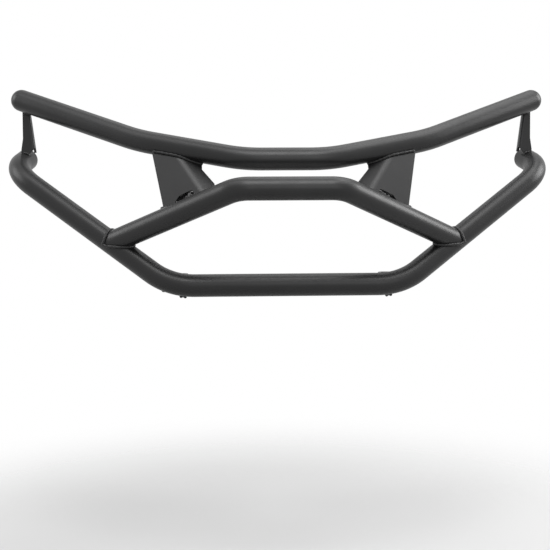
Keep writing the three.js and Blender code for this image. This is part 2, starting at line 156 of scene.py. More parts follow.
# ------------------------------------------------------------------------------
# Meshes
# ------------------------------------------------------------------------------


def mesh_of(bm):
    """A mesh with its faces pointing out, from a bmesh that it frees."""
    bmesh.ops.recalc_face_normals(bm, faces=bm.faces)
    mesh = bpy.data.meshes.new("shape")
    bm.to_mesh(mesh)
    bm.free()
    return mesh


def loft(rings, loop=False):
    """A closed body through rings of points. Its last ring meets its first, or both are capped."""
    bm = bmesh.new()
    rows = [[bm.verts.new(point) for point in ring] for ring in rings]
    count = len(rows[0])
    pairs = list(zip(rows, rows[1:]))
    if loop:
        pairs.append((rows[-1], rows[0]))
    else:
        bm.faces.new(reversed(rows[0]))
        bm.faces.new(rows[-1])
    for here, there in pairs:
        for i in range(count):
            j = (i + 1) % count
            bm.faces.new((here[i], here[j], there[j], there[i]))
    return mesh_of(bm)


def mirrored(mesh):
    """The same mesh on the other side of the centre plane."""
    copy = mesh.copy()
    copy.transform(Matrix.Diagonal((-1, 1, 1, 1)))
    copy.flip_normals()
    return copy


def cut(mesh, cutters):
    """A mesh less some others, which it uses up."""
    body = bpy.data.objects.new("cut_body", mesh)
    bpy.context.scene.collection.objects.link(body)
    tools = []
    for cutter in cutters:
        tool = bpy.data.objects.new("cutter", cutter)
        bpy.context.scene.collection.objects.link(tool)
        tools.append(tool)
        modifier = body.modifiers.new("cut", "BOOLEAN")
        modifier.operation = "DIFFERENCE"
        modifier.solver = "EXACT"
        modifier.object = tool
    bpy.context.view_layer.update()
    result = bpy.data.meshes.new_from_object(body.evaluated_get(bpy.context.evaluated_depsgraph_get()))
    for extra in (body, *tools):
        bpy.data.objects.remove(extra)
    return result


def bevelled(mesh, steps=3):
    """A mesh with its sharp edges rounded."""
    bm = bmesh.new()
    bm.from_mesh(mesh)
    edges = [edge for edge in bm.edges if edge.is_manifold and edge.calc_face_angle(0) > BEVEL_ANGLE]
    bmesh.ops.bevel(
        bm, geom=edges, offset=EDGE_ROUND, segments=steps, profile=0.5, affect="EDGES", clamp_overlap=True,
    )
    return mesh_of(bm)


# ------------------------------------------------------------------------------
# Bent tubes
# ------------------------------------------------------------------------------


def axis_of(half):
    """Places and directions along a bent tube's axis, from its -X end to its +X end."""
    flipped = [(Vector((-place.x, place.y, place.z)), radius) for place, radius in reversed(half)]
    corners = flipped + list(half)
    run = []
    for i, (place, radius) in enumerate(corners):
        if i == 0 or i == len(corners) - 1:
            inner = corners[1][0] if i == 0 else corners[-2][0]
            along = (inner - place) if i == 0 else (place - inner)
            run.append((place, along.normalized()))
            continue
        before = (place - corners[i - 1][0]).normalized()
        after = (corners[i + 1][0] - place).normalized()
        turn = before.angle(after)
        start = place - before * radius * math.tan(turn / 2)
        hinge = before.cross(after).normalized()
        centre = start + hinge.cross(before) * radius
        steps = max(4, math.ceil(turn / BEND_STEP))
        for k in range(steps + 1):
            spin = Quaternion(hinge, turn * k / steps)
            run.append((centre + spin @ (start - centre), spin @ before))
    return run


def rings_round(run, radius, sides=TUBE_SIDES):
    """A ring of points round each place of a run, carried along without twisting."""
    rings = []
    previous = run[0][1]
    side = previous.orthogonal().normalized()
    for place, along in run:
        side = previous.rotation_difference(along) @ side
        side = (side - along * side.dot(along)).normalized()
        previous = along
        rings.append([
            place + Quaternion(along, 2 * math.pi * i / sides) @ side * radius
            for i in range(sides)
        ])
    return rings


def bar(half, radius):
    """A solid bar along a centreline, a little longer than the tube itself at both ends."""
    run = axis_of(half)
    run[0] = (run[0][0] - run[0][1] * TUBE_RADIUS, run[0][1])
    run[-1] = (run[-1][0] + run[-1][1] * TUBE_RADIUS, run[-1][1])
    return loft(rings_round(run, radius))


def trims(*halves):
    """Bars that cut a welded piece back to just inside the skins of the tubes."""
    return [bar(half, TUBE_RADIUS - SINK) for half in halves]


class Axis:
    """A tube's axis as a chain of straight pieces, to measure distances from."""

    def __init__(self, half):
        points = np.array([place for place, _ in axis_of(half)], float)
        self.start = points[:-1]
        self.step = points[1:] - points[:-1]
        self.length_squared = (self.step ** 2).sum(1)

    def distance(self, point):
        offset = np.array(point, float) - self.start
        share = np.clip((offset * self.step).sum(1) / self.length_squared, 0, 1)
        return float(np.sqrt(((offset - share[:, None] * self.step) ** 2).sum(1).min()))

    def reach(self, origin, along, radius, limit, steps=60):
        """How far from origin a line first comes within radius of the axis. Where it starts there
        or never does, how far it is to where it comes nearest."""
        travels = [limit * k / steps for k in range(steps + 1)]
        distances = [self.distance(origin + along * travel) for travel in travels]
        hit = next((k for k, distance in enumerate(distances) if distance < radius), None)
        if not hit:
            return travels[distances.index(min(distances))]
        near, far = travels[hit - 1], travels[hit]
        for _ in range(HALVINGS):
            middle = (near + far) / 2
            if self.distance(origin + along * middle) < radius:
                far = middle
            else:
                near = middle
        return (near + far) / 2


def axis_point(half, out):
    """The point of a centreline's +X half at a distance out, its bends left sharp."""
    first = half[0][0]
    corners = [Vector((0, first.y, first.z))] + [place for place, _ in half]
    for before, after in zip(corners, corners[1:]):
        if after.x >= out:
            return before.lerp(after, (out - before.x) / (after.x - before.x))
    raise ValueError("the centreline doesn't reach that far out")


def skin(place, angle):
    """Place on a tube's skin, at an angle round it: 0 is its rear and 90 degrees its top."""
    return place + Vector((0, math.cos(angle), math.sin(angle))) * TUBE_RADIUS


hoop_foot = axis_point(LOWER_HALF, HOOP_FOOT_OUT) - Vector((0, HOOP_FOOT_AHEAD, 0))
HOOP_HALF = [(HOOP_SHOULDER, HOOP_BEND), (hoop_foot, 0)]
top_axis = Axis(TOP_HALF)
lower_axis = Axis(LOWER_HALF)
hoop_axis = Axis(HOOP_HALF)


# ------------------------------------------------------------------------------
# Formed plates
# ------------------------------------------------------------------------------


def rounded(outline, radius, steps=4):
    """An outline of (s, t) points with its corners rounded."""
    points = [Vector(point) for point in outline]
    result = []
    for i, corner in enumerate(points):
        back = points[i - 1] - corner
        ahead = points[(i + 1) % len(points)] - corner
        turn = math.pi - back.angle(ahead)
        if turn < CORNER_ANGLE:
            result.append(tuple(corner))
            continue
        trim = min(radius * math.tan(turn / 2), back.length * 0.4, ahead.length * 0.4)
        start = corner + back.normalized() * trim
        end = corner + ahead.normalized() * trim
        for k in range(steps + 1):
            share = k / steps
            result.append(tuple(start.lerp(corner, share).lerp(corner.lerp(end, share), share)))
    return result


def formed_plate(outline, form, thickness, cuts=()):
    """A plate cut to an outline of (s, t) and bent by form(s, t), which gives a place and the
    direction in which the plate's thickness lies. It bends between the cuts, at constant s."""
    blank = bmesh.new()
    blank.faces.new([blank.verts.new((s, t, 0)) for s, t in outline])
    for s in cuts:
        bmesh.ops.bisect_plane(
            blank, geom=blank.verts[:] + blank.edges[:] + blank.faces[:],
            plane_co=(s, 0, 0), plane_no=(1, 0, 0),
        )
    body = bmesh.new()
    front, back = {}, {}
    for vertex in blank.verts:
        place, inward = form(vertex.co.x, vertex.co.y)
        front[vertex] = body.verts.new(place)
        back[vertex] = body.verts.new(place + inward * thickness)
    for face in blank.faces:
        body.faces.new([front[vertex] for vertex in face.verts])
        body.faces.new([back[vertex] for vertex in reversed(face.verts)])
    for edge in blank.edges:
        if edge.is_boundary:
            a, b = edge.verts
            body.faces.new((front[a], front[b], back[b], back[a]))
    blank.free()
    return mesh_of(body)


class Fold:
    """A bend along a line: s < 0 is its first leaf and s > 0 its second, t runs along it.
    The plate's thickness lies inside the bend."""

    def __init__(self, origin, end, first, second, radius):
        self.origin = origin
        self.hinge = (end - origin).normalized()
        self.first = (first - self.hinge * first.dot(self.hinge)).normalized()
        self.second = (second - self.hinge * second.dot(self.hinge)).normalized()
        self.turn = math.pi - self.first.angle(self.second)
        self.setback = radius * math.tan(self.turn / 2)
        bisector = (self.first + self.second).normalized()
        self.centre = bisector * radius / math.cos(self.turn / 2)
        self.spoke = self.first * self.setback - self.centre
        last = self.second * self.setback - self.centre
        self.spin = self.spoke.rotation_difference(last)
        self.inward = (-self.spoke.normalized(), -last.normalized())
        half = FOLD_STEPS // 2
        self.cuts = [self.setback * k / half for k in range(-half, half + 1)]

    def flat(self, point):
        """The (s, t) of a point of either leaf."""
        offset = point - self.origin
        first, second = offset.dot(self.first), offset.dot(self.second)
        return (second if second > first else -first), offset.dot(self.hinge)

    def __call__(self, s, t):
        along = self.origin + self.hinge * t
        if s <= -self.setback:
            return along - self.first * s, self.inward[0]
        if s >= self.setback:
            return along + self.second * s, self.inward[1]
        share = (s + self.setback) / (2 * self.setback)
        spoke = Quaternion().slerp(self.spin, share) @ self.spoke
        return along + self.centre + spoke, -spoke.normalized()


class Flat:
    """A plate left flat, its (s, t) along Y and Z, its thickness towards +X."""

    def __init__(self, x):
        self.x = x

    def __call__(self, s, t):
        return Vector((self.x, s, t)), Vector((1, 0, 0))


# ------------------------------------------------------------------------------
# Weld beads
# ------------------------------------------------------------------------------


def resampled(path, step, loop):
    """Points along a path at an even step."""
    points = list(path) + ([path[0]] if loop else [])
    lengths = [0.0]
    for before, after in zip(points, points[1:]):
        lengths.append(lengths[-1] + (after - before).length)
    count = max(6, round(lengths[-1] / step))
    result = []
    k = 0
    for i in range(count if loop else count + 1):
        wanted = lengths[-1] * i / count
        while k < len(lengths) - 2 and lengths[k + 1] < wanted:
            k += 1
        span = lengths[k + 1] - lengths[k]
        result.append(points[k].lerp(points[k + 1], (wanted - lengths[k]) / span if span else 0))
    return result, lengths[-1]


def weld_bead(path, aside, loop=False, sides=16):
    """A bead of overlapping ripples along a path, its width wandering a little, rounded off at its
    ends. aside(point) is a direction across the path there, which keeps it from twisting."""
    points, length = resampled(path, WELD_PITCH / WELD_STEPS, loop)
    ripples = max(1, round(length / WELD_PITCH))
    count = len(points)
    rings = []
    for i, point in enumerate(points):
        before = points[i - 1] if i or loop else point
        after = points[(i + 1) % count] if i < count - 1 or loop else point
        along = (after - before).normalized()
        side = aside(point)
        side = (side - along * side.dot(along)).normalized()
        share = i / (count if loop else count - 1)
        wander = 1 + 0.06 * math.sin(22 * math.pi * share) + 0.04 * math.sin(10 * math.pi * share + 1)
        taper = 1.0
        if not loop:
            edge = min(share, 1 - share) * length
            taper = math.sqrt(max(0.02, 1 - max(0, 1 - edge / WELD_RADIUS) ** 2))
        ring = []
        for k in range(sides):
            turn = 2 * math.pi * k / sides
            phase = share * ripples + 0.22 * math.cos(turn)
            ripple = 0.86 + 0.2 * math.sqrt(abs(math.sin(math.pi * phase)))
            spoke = Quaternion(along, turn) @ side
            ring.append(point + spoke * WELD_RADIUS * ripple * wander * taper)
        rings.append(ring)
    return loft(rings, loop)


# ------------------------------------------------------------------------------
# Materials
# ------------------------------------------------------------------------------


class Finish:
    """A node-based material whose colour, roughness and bump follow noise in the object's own space."""

    def __init__(self, name, metallic=0.0, specular=0.5):
        self.material = bpy.data.materials.new(name)
        self.material.use_nodes = True
        self.nodes = self.material.node_tree.nodes
        self.links = self.material.node_tree.links
        self.shader = self.nodes["Principled BSDF"]
        self.shader.inputs["Metallic"].default_value = metallic
        self.shader.inputs["Specular IOR Level"].default_value = specular
        self.place = self.nodes.new("ShaderNodeTexCoord")
        self.normal = None

    def noise(self, scale, detail):
        texture = self.nodes.new("ShaderNodeTexNoise")
        texture.inputs["Scale"].default_value = scale
        texture.inputs["Detail"].default_value = detail
        self.links.new(self.place.outputs["Object"], texture.inputs["Vector"])
        return texture.outputs["Fac"]

    def ramp(self, factor, low, high):
        """A ramp between two greys or colours, over the range that most noise lies in."""
        ramp = self.nodes.new("ShaderNodeValToRGB")
        for element, position, colour in zip(ramp.color_ramp.elements, (0.3, 0.7), (low, high)):
            element.position = position
            element.color = (*colour, 1)
        self.links.new(factor, ramp.inputs["Fac"])
        return ramp.outputs["Color"]

    def colour(self, factor, low, high):
        self.links.new(self.ramp(factor, low, high), self.shader.inputs["Base Color"])

    def roughness(self, factor, low, high):
        self.links.new(self.ramp(factor, (low,) * 3, (high,) * 3), self.shader.inputs["Roughness"])

    def bump(self, height, distance, strength):
        bump = self.nodes.new("ShaderNodeBump")
        bump.inputs["Distance"].default_value = distance
        bump.inputs["Strength"].default_value = strength
        self.links.new(height, bump.inputs["Height"])
        if self.normal:
            self.links.new(self.normal, bump.inputs["Normal"])
        self.normal = bump.outputs["Normal"]
        self.links.new(self.normal, self.shader.inputs["Normal"])


def powder_coat():
    """Satin black powder coat: near black, with a fine orange peel and slight clouding."""
    finish = Finish("satin_black_powder_coat", specular=0.34)
    finish.colour(finish.noise(14, 4), (0.0068, 0.0068, 0.0071), (0.0102, 0.0102, 0.0106))
    finish.roughness(finish.noise(35, 5), 0.36, 0.42)
    finish.bump(finish.noise(520, 2), 0.05 * MM, 0.35)
    finish.bump(finish.noise(1900, 1), 0.012 * MM, 0.25)
    return finish.material


def black_zinc():
    """Black zinc on the fasteners, slightly clouded and finely scratched."""
    finish = Finish("black_zinc_plated_steel", metallic=0.85)
    finish.colour(finish.noise(120, 4), (0.040, 0.040, 0.044), (0.065, 0.065, 0.071))
    finish.roughness(finish.noise(260, 4), 0.32, 0.46)
    finish.bump(finish.noise(1500, 3), 0.02 * MM, 0.3)
    return finish.material


def moulded_plastic():
    """Black moulded plastic with a fine spark-eroded grain."""
    finish = Finish("moulded_black_plastic", specular=0.4)
    finish.colour(finish.noise(60, 3), (0.014, 0.014, 0.015), (0.02, 0.02, 0.021))
    finish.roughness(finish.noise(90, 3), 0.55, 0.68)
    finish.bump(finish.noise(1400, 4), 0.06 * MM, 0.5)
    return finish.material


FINISHES = {"coat": powder_coat(), "zinc": black_zinc(), "plug": moulded_plastic()}


# ------------------------------------------------------------------------------
# Pieces
# ------------------------------------------------------------------------------


def piece(name, mesh, slot, node=None):
    """A shown piece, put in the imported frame. It may stand for a CAD node."""
    mesh.transform(Matrix.Translation(DATUM))
    mesh.materials.clear()
    mesh.materials.append(FINISHES[slot])
    mesh.shade_smooth()
    mesh.set_sharp_from_angle(angle=SHARP_ANGLE)
    shown = bpy.data.objects.new(name, mesh)
    bpy.context.scene.collection.objects.link(shown)
    weighted = shown.modifiers.new("even_normals", "WEIGHTED_NORMAL")
    weighted.keep_sharp = True
    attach(shown, "root")
    if node:
        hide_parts(node)


def pair(name, mesh, slot, node=None):
    """A +X piece and its mirror image. Where it stands for a CAD node, that has the same sides."""
    for side, sign in SIDES:
        shape = mesh.copy() if sign > 0 else mirrored(mesh)
        piece(f"{name}_{side}", shape, slot, f"{node}_{side}" if node else None)


def hollow(outer, inner):
    """A tube's wall between its outer and inner rings."""
    return loft(outer + inner[::-1], loop=True)


# Top and lower tubes

for name, half in (("top_tube", TOP_HALF), ("lower_tube", LOWER_HALF)):
    run = axis_of(half)
    wall = hollow(rings_round(run, TUBE_RADIUS), rings_round(run, BORE_RADIUS))
    piece(f"bent_{name}", wall, "coat", name)


# Hoop, its legs coped to the lower tube


def coped(rings, run):
    """The rings of a tube whose two ends are cut to sit on the lower tube."""
    for end, direction in ((0, -1), (-1, 1)):
        along = run[end][1] * direction
        rings[end] = [
            start + along * lower_axis.reach(start, along, TUBE_RADIUS - SINK, 2 * SEARCH)
            for start in (point - along * SEARCH for point in rings[end])
        ]
    return rings


hoop_run = axis_of(HOOP_HALF)
hoop_wall = hollow(
    coped(rings_round(hoop_run, TUBE_RADIUS), hoop_run),
    coped(rings_round(hoop_run, BORE_RADIUS), hoop_run),
)
piece("coped_hoop_tube", hoop_wall, "coat", "hoop_tube")


def hoop_weld():
    """The bead all round a leg's foot."""
    place, along = hoop_run[-1]
    path = []
    for point in rings_round(hoop_run, TUBE_RADIUS + WELD_CLEAR)[-1]:
        start = point - along * SEARCH
        travel = lower_axis.reach(start, along, TUBE_RADIUS + WELD_CLEAR, 2 * SEARCH)
        path.append(start + along * travel)

    def aside(point):
        offset = point - place
        return offset - along * offset.dot(along)

    return weld_bead(path, aside, loop=True)


pair("hoop_weld", hoop_weld(), "coat")


# Turned pieces: a profile of (travel along the axis, radius), either of which may vary round it


def turned(profile, origin, along, sides=72, loop=False):
    side = along.orthogonal().normalized()
    rings = []
    for travel, radius in profile:
        ring = []
        for k in range(sides):
            turn = 2 * math.pi * k / sides
            here = travel(turn) if callable(travel) else travel
            out = radius(turn) if callable(radius) else radius
            ring.append(origin + along * here + Quaternion(along, turn) @ side * out)
        rings.append(ring)
    return loft(rings, loop)


def quarter_round(travel, radius, fillet, steps=4):
    """A rounded shoulder that ends at a travel, from a radius down to radius - fillet."""
    return [
        (travel - fillet + fillet * math.sin(math.pi / 2 * k / steps),
         radius - fillet + fillet * math.cos(math.pi / 2 * k / steps))
        for k in range(steps + 1)
    ]


CAP_SPIGOT = 14 * MM
CAP_GAP = 0.3 * MM
PLUG_HEAD = 4 * MM
DOME_STEPS = 24


def top_cap():
    """A domed end welded on and ground flush: its rim is the tube's own end."""
    tip = TOP_HALF[-1][0]
    along = (tip - TOP_HALF[-2][0]).normalized()
    spigot = BORE_RADIUS - CAP_GAP
    profile = [(-CAP_SPIGOT, spigot), (0, spigot)]
    for k in range(DOME_STEPS):
        lift = math.pi / 2 * k / DOME_STEPS
        profile.append((TUBE_RADIUS * math.sin(lift), TUBE_RADIUS * math.cos(lift)))
    return turned(profile, tip, along, sides=TUBE_SIDES)


def lower_plug():
    """A moulded plug: a rounded head on the tube's end, and a ribbed spigot in its bore."""
    end = LOWER_HALF[-1][0]
    along = (end - CORNER).normalized()
    spigot = BORE_RADIUS - CAP_GAP
    profile = [(-CAP_SPIGOT, spigot - 2 * MM)]
    ribs = 3
    for k in range(ribs):
        start = -CAP_SPIGOT + (k + 0.5) * CAP_SPIGOT / ribs
        profile += [(start, spigot - 1 * MM), (start + 1 * MM, spigot), (start + 1.5 * MM, spigot - 1 * MM)]
    profile += [(CAP_GAP, spigot - 1 * MM), (CAP_GAP, TUBE_RADIUS - 0.3 * MM)]
    profile += quarter_round(PLUG_HEAD + CAP_GAP, TUBE_RADIUS - 0.3 * MM, 2 * MM)
    return turned(profile, end, along, sides=TUBE_SIDES)


pair("domed_top_end_cap", top_cap(), "coat", "top_end_cap")
pair("moulded_lower_end_cap", lower_plug(), "plug", "lower_end_cap")


# Gussets


class Plane:
    """A plane through three points, its normal towards the rear."""

    def __init__(self, a, b, c):
        self.origin = a
        self.normal = (b - a).cross(c - a).normalized()
        if self.normal.y < 0:
            self.normal.negate()

    def at(self, x, z):
        normal = self.normal
        rest = normal.x * (x - self.origin.x) + normal.z * (z - self.origin.z)
        return Vector((x, self.origin.y - rest / normal.y, z))


def gusset_top(out):
    return skin(axis_point(TOP_HALF, out), GUSSET_TOP_SEAT)


def hoop_crest(out):
    return axis_point(HOOP_HALF, out).z + TUBE_RADIUS


gusset_face = Plane(
    gusset_top(GUSSET_TOP_OUTER),
    gusset_top(GUSSET_TOP_BEND),
    skin(axis_point(HOOP_HALF, GUSSET_BOTTOM_OUTER), GUSSET_FOOT_SEAT),
)
gusset_bend_top = gusset_face.at(GUSSET_TOP_BEND, gusset_top(GUSSET_TOP_BEND).z)
gusset_bend_foot = gusset_face.at(GUSSET_BOTTOM_BEND, hoop_crest(GUSSET_BOTTOM_BEND) - GUSSET_SKIRT)
gusset_outer_foot = gusset_face.at(GUSSET_BOTTOM_OUTER, hoop_crest(GUSSET_BOTTOM_OUTER) - GUSSET_SKIRT)
gusset_inner_top = skin(axis_point(TOP_HALF, GUSSET_TOP_INNER), TUBE_BOTTOM)
gusset_fold = Fold(
    gusset_bend_foot, gusset_bend_top,
    gusset_outer_foot - gusset_bend_foot, gusset_inner_top - gusset_bend_foot, GUSSET_FOLD,
)


def seam(form, start, end, drop, along, axis, back=0.0, steps=24):
    """The line on a formed plate's skin, between two values of s, where it meets a tube.
    `drop` is the t that the search starts from, and `back` the thickness on the rear skin."""
    path = []
    for k in range(steps + 1):
        place, inward = form(start + (end - start) * k / steps, drop)
        origin = place + (inward * (back + WELD_CLEAR) if back else inward * -WELD_CLEAR)
        path.append(origin + along * axis.reach(origin, along, TUBE_RADIUS + WELD_CLEAR, SEARCH))
    return path


def gusset():
    rise = TUBE_RADIUS / 2
    outer_top = gusset_face.at(GUSSET_TOP_OUTER, gusset_top(GUSSET_TOP_OUTER).z)
    run = gusset_bend_top - gusset_bend_foot
    edge = outer_top - gusset_outer_foot
    flange = Plane(gusset_bend_top, gusset_bend_foot, gusset_inner_top)
    inner = GUSSET_BOTTOM_INNER

    def rim(out, lift):
        return gusset_face.at(out, hoop_crest(out) + lift)

    corners = [
        gusset_bend_top + run * (rise / run.z),
        outer_top + edge * (rise / edge.z),
        gusset_outer_foot,
        rim(NOTCH_OUTER, -GUSSET_SKIRT),
        rim(NOTCH_OUTER, 0),
        rim(NOTCH_OUTER - NOTCH_OUTER_RUN, NOTCH_DEPTH),
        rim(NOTCH_INNER + NOTCH_INNER_RUN, NOTCH_DEPTH),
        rim(NOTCH_INNER, 0),
        rim(NOTCH_INNER, -GUSSET_SKIRT),
        gusset_bend_foot,
        flange.at(inner, hoop_crest(inner) - GUSSET_SKIRT),
        flange.at(inner, hoop_crest(inner)),
        flange.at(GUSSET_TOP_INNER, gusset_inner_top.z - GUSSET_STEP_DROP),
        flange.at(GUSSET_TOP_INNER, gusset_inner_top.z + rise),
    ]
    outline = rounded([gusset_fold.flat(corner) for corner in corners], OUTLINE_ROUND)
    blank = formed_plate(outline, gusset_fold, PLATE, gusset_fold.cuts)
    return cut(bevelled(blank), trims(TOP_HALF, HOOP_HALF))


pair("folded_centre_gusset", gusset(), "coat", "centre_gusset")

# Uprights

upright_out = CORNER.x - UPRIGHT_INSET
upright_back = CORNER.y + UPRIGHT_FOOT_BEHIND
upright_rise = CORNER.z + RETURN.z * UPRIGHT_FOOT_BEHIND / RETURN.y + TUBE_RADIUS - UPRIGHT_FOOT_DROP
upright_top = axis_point(TOP_HALF, upright_out)
upright_lean = (upright_top.y - upright_back) / (upright_top.z - upright_rise)


def upright_at(inset, z):
    return Vector((upright_out - inset, upright_back + upright_lean * (z - upright_rise), z))


upright_inner_foot = upright_at(UPRIGHT_BOTTOM_WIDTH, upright_rise + UPRIGHT_FOOT_LIFT)
upright_inner_top = upright_at(UPRIGHT_TOP_WIDTH, upright_top.z)
upright_flange_edge = Vector((0, UPRIGHT_FLANGE_BOTTOM, -UPRIGHT_FLANGE_SLANT))
upright_fold = Fold(
    upright_inner_foot, upright_inner_top, ACROSS, upright_flange_edge, UPRIGHT_FOLD,
)


def upright():
    seat = TUBE_RADIUS / 2
    corners = [
        upright_at(0, upright_top.z),
        upright_at(0, upright_rise + UPRIGHT_FLARE_RISE),
        upright_at(-UPRIGHT_FLARE, upright_rise + seat),
        upright_at(-UPRIGHT_FLARE, upright_rise - seat),
        upright_at(UPRIGHT_FOOT_WIDTH, upright_rise - seat),
        upright_at(UPRIGHT_FOOT_WIDTH, upright_rise),
        upright_inner_foot,
        upright_inner_foot + upright_flange_edge,
        upright_inner_top + Vector((0, UPRIGHT_FLANGE_TOP, 0)),
        upright_inner_top,
    ]
    outline = rounded([upright_fold.flat(corner) for corner in corners], OUTLINE_ROUND)
    blank = formed_plate(outline, upright_fold, PLATE, upright_fold.cuts)
    return cut(bevelled(blank), trims(TOP_HALF, LOWER_HALF))


pair("folded_upright", upright(), "coat", "upright")

# Tabs and brackets, built at +X from the boxes of the pieces that they stand for


def built_box(node):
    """A CAD node's box, in the construction frame."""
    low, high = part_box(node)
    return low - DATUM, high - DATUM


def bolt_places(mount):
    """Middles of a mount's two right-hand bolts."""
    boxes = [built_box(f"{mount}_bolt_{i}_right") for i in (1, 2)]
    return [(low + high) / 2 for low, high in boxes]


def bolt_holes(mount):
    """Rods that cut a mount's bolt holes."""
    reach = ACROSS * 4 * BRACKET
    return [
        loft(rings_round([(place - reach, ACROSS), (place + reach, ACROSS)], BOLT_HOLE_RADIUS, ROD_SIDES))
        for place in bolt_places(mount)
    ]


def tab(mount, front, half):
    """A tab welded to a tube, its rear corners cut off. front(z) is where its front edge starts."""
    low, high = built_box(f"{mount}_tab_right")
    outline = [
        (front(low.z), low.z),
        (high.y - TAB_CHAMFER, low.z),
        (high.y, low.z + TAB_CHAMFER),
        (high.y, high.z - TAB_CHAMFER),
        (high.y - TAB_CHAMFER, high.z),
        (front(high.z), high.z),
    ]
    blank = formed_plate(rounded(outline, OUTLINE_ROUND), Flat(low.x), BRACKET)
    return cut(bevelled(blank), trims(half) + bolt_holes(mount))


def slot_cutter(place):
    """A level slot through a bracket's foot."""
    run = SLOT_LENGTH / 2 - BOLT_HOLE_RADIUS
    rings = []
    for depth in (-2 * BRACKET, 2 * BRACKET):
        ring = []
        for k in range(ROD_SIDES):
            turn = 2 * math.pi * (k + 0.5) / ROD_SIDES
            shift = run if math.cos(turn) > 0 else -run
            ring.append(Vector((
                place.x + shift + BOLT_HOLE_RADIUS * math.cos(turn),
                place.y + depth,
                place.z + BOLT_HOLE_RADIUS * math.sin(turn),
            )))
        rings.append(ring)
    return loft(rings)


def bracket(mount):
    """A folded angle: its leg lies against the tab and its slotted foot against the vehicle."""
    low, high = built_box(f"{mount}_bracket_right")
    corner = Vector((low.x, high.y, low.z))
    fold = Fold(corner, Vector((low.x, high.y, high.z)), Vector((0, -1, 0)), ACROSS, BRACKET_FOLD)
    leg, foot, height = high.y - low.y, high.x - low.x, high.z - low.z
    outline = rounded([(-leg, 0), (foot, 0), (foot, height), (-leg, height)], 2 * OUTLINE_ROUND)
    blank = bevelled(formed_plate(outline, fold, BRACKET, fold.cuts))
    slot = Vector((low.x + (foot + BRACKET) / 2, high.y, (low.z + high.z) / 2 - SLOT_DROP))
    return cut(blank, bolt_holes(mount) + [slot_cutter(slot)])


def lower_tab_front(_z):
    """Inside the lower tube, which then trims the tab."""
    return LOWER_HALF[0][0].y + TUBE_RADIUS / 2


def upper_tab_front(z):
    """At the gusset's rear skin, where the gusset has its notch."""
    low, _ = built_box("upper_tab_right")
    return gusset_face.at(low.x, z).y + PLATE / gusset_face.normal.y - 4 * SINK


pair("welded_lower_tab", tab("lower", lower_tab_front, LOWER_HALF), "coat", "lower_tab")
pair("welded_upper_tab", tab("upper", upper_tab_front, HOOP_HALF), "coat", "upper_tab")
for mount in ("lower", "upper"):
    pair(f"folded_{mount}_bracket", bracket(mount), "coat", f"{mount}_bracket")


# Fasteners (M10)

THREAD_RADIUS = 5 * MM
THREAD_DEPTH = 0.8 * MM
THREAD_PITCH = 1.5 * MM
ACROSS_FLATS = 16 * MM
FLANGE_RADIUS = 10.5 * MM
FLANGE_HEIGHT = 2 * MM
HEAD_HEIGHT = 9 * MM  # with its flange
THREAD_TURNS = 8
THREAD_LEAD = 0.4 * MM  # the plain point before the first turn
HEX_CHAMFER = math.radians(30)
HEX_CROWN = 0.475 * ACROSS_FLATS  # radius of the circle that the chamfer leaves


def hexagon(turn):
    """A hexagon's radius at an angle round it."""
    return ACROSS_FLATS / 2 / math.cos(turn % (math.pi / 3) - math.pi / 6)


def hex_edge(end, sense):
    """Where a hexagon's flats stop below its chamfered end."""
    return lambda turn: end - sense * (hexagon(turn) - HEX_CROWN) * math.tan(HEX_CHAMFER)


def fastener_box(node):
    """The middle of a fastener's -X end, its length and its radius."""
    low, high = built_box(node)
    start = Vector((low.x, (low.y + high.y) / 2, (low.z + high.z) / 2))
    return start, high.x - low.x, (high.z - low.z) / 2


def bolt(node):
    """A flange bolt along +X: threaded tail, shank, flange and a dished hexagon head."""
    start, length, _ = fastener_box(node)
    root = THREAD_RADIUS - THREAD_DEPTH
    profile = [(0, root - THREAD_LEAD)]
    for k in range(THREAD_TURNS):
        travel = THREAD_LEAD + k * THREAD_PITCH
        profile += [(travel, root), (travel + THREAD_PITCH / 2, THREAD_RADIUS)]
    flange = length - HEAD_HEIGHT
    profile += [
        (THREAD_LEAD + THREAD_TURNS * THREAD_PITCH, root),
        (THREAD_LEAD + THREAD_TURNS * THREAD_PITCH + THREAD_DEPTH, THREAD_RADIUS),
        (flange, THREAD_RADIUS),
        (flange, FLANGE_RADIUS - 0.3 * MM),
        (flange + 0.3 * MM, FLANGE_RADIUS),
        (flange + 0.9 * MM, FLANGE_RADIUS),
        (flange + 1.3 * MM, FLANGE_RADIUS - 0.4 * MM),
        (flange + FLANGE_HEIGHT, hexagon),
        (hex_edge(length, 1), hexagon),
        (length, HEX_CROWN),
        (length, HEX_CROWN - 0.9 * MM),
        (length - 0.5 * MM, HEX_CROWN - 1.8 * MM),
    ]
    return turned(profile, start, ACROSS)


def washer(node):
    start, thickness, outer = fastener_box(node)
    inner, edge = BOLT_HOLE_RADIUS, 0.25 * MM
    profile = [
        (0, inner), (0, outer - edge), (edge, outer), (thickness - edge, outer),
        (thickness, outer - edge), (thickness, inner),
    ]
    return turned(profile, start, ACROSS, loop=True)


def nut(node):
    """A hexagon nut, chamfered on both ends and countersunk at its bore."""
    start, height, _ = fastener_box(node)
    bore, sink = THREAD_RADIUS + 0.1 * MM, 0.8 * MM
    profile = [
        (sink, bore), (0, bore + sink), (0, HEX_CROWN), (hex_edge(0, -1), hexagon),
        (hex_edge(height, 1), hexagon), (height, HEX_CROWN), (height, bore + sink),
        (height - sink, bore),
    ]
    return turned(profile, start, ACROSS, loop=True)


for mount in ("lower", "upper"):
    for i in (1, 2):
        for kind, make in (("bolt", bolt), ("washer", washer), ("nut", nut)):
            node = f"{mount}_{kind}_{i}"
            pair(f"m10_{node}", make(f"{node}_right"), "zinc", node)


# Welds of plates and tabs


def steady(direction):
    """The same direction at every point of a bead."""
    return lambda point: direction


